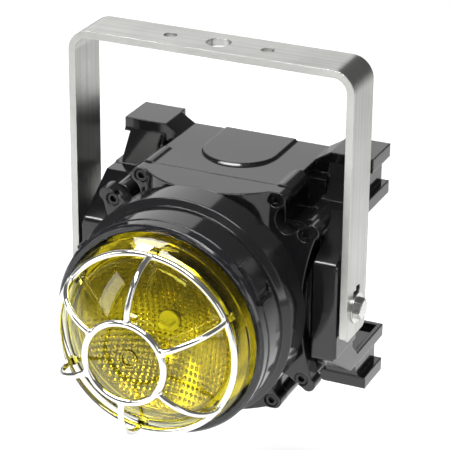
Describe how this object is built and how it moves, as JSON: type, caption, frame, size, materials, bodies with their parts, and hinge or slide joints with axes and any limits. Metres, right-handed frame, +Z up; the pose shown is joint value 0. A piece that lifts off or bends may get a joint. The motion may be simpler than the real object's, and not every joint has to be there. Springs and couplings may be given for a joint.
{
  "type": "warning beacon",
  "caption": "Wall-mounted strobe warning beacon: black moulded housing with a round yellow lens under a wire guard, tilting on a flat-bar stainless stirrup.",
  "frame": {"origin": "centre of the stirrup web's upper face, on the axis of its middle bore", "axes": "+X to the right of the lens as seen from behind the beacon's front, along the tilt axis; +Y from the lens to the back; +Z up, out of the stirrup web"},
  "size_m": [0.2164, 0.2256, 0.2594],
  "materials": {
    "stainless": "satin brushed",
    "housing": "gloss moulded polyester",
    "seal": "matt",
    "fastener": "plain stainless",
    "brass": "turned",
    "lens": "yellow, clear and glossy",
    "guard": "polished stainless wire",
    "reflector": "metallised, dimpled",
    "ceramic": "glazed",
    "tube_glass": "clear",
    "board": "solder resist",
    "can": "sleeved",
    "core_steel": "varnished laminations",
    "winding": "enamelled copper",
    "tray": "plain sheet",
    "terminal_plastic": "moulded"
  },
  "bodies": {
    "bracket": {"stirrup": "stainless"},
    "head": {"rear_housing": "housing", "front_housing": "housing", "housing_gasket": "seal", "cover_screws": "fastener", "pivot_bolts": "fastener", "plain_washers": "fastener", "friction_pads": "seal", "threaded_inserts": "brass", "stop_pins": "fastener", "retaining_ring": "housing", "ring_lock_screws": "fastener", "lens_gasket": "seal", "lens": "lens", "guard_outer_ring": "guard", "guard_inner_ring": "guard", "guard_wire_1": "guard", "guard_wire_2": "guard", "guard_wire_3": "guard", "guard_wire_4": "guard", "guard_wire_5": "guard", "guard_wire_6": "guard", "reflector": "reflector", "lamp_holder": "ceramic", "flash_tube": "tube_glass", "control_board": "board", "board_standoffs": "brass", "board_screws": "fastener", "storage_capacitors": "can", "transformer_core": "core_steel", "transformer_winding": "winding", "trigger_coil": "winding", "gear_tray": "tray", "tray_screws": "fastener", "terminal_block": "terminal_plastic", "terminal_screws": "brass", "terminal_fixings": "fastener", "earth_stud": "brass", "earth_nuts": "brass", "entry_plug": "brass", "entry_seal": "seal"}
  },
  "joints": [
    {"name": "head_tilt", "type": "hinge", "parent": "bracket", "child": "head", "pos_m": [0, 0, -0.172], "axis": [1, 0, 0], "range_deg": [-16, 16]}
  ]
}
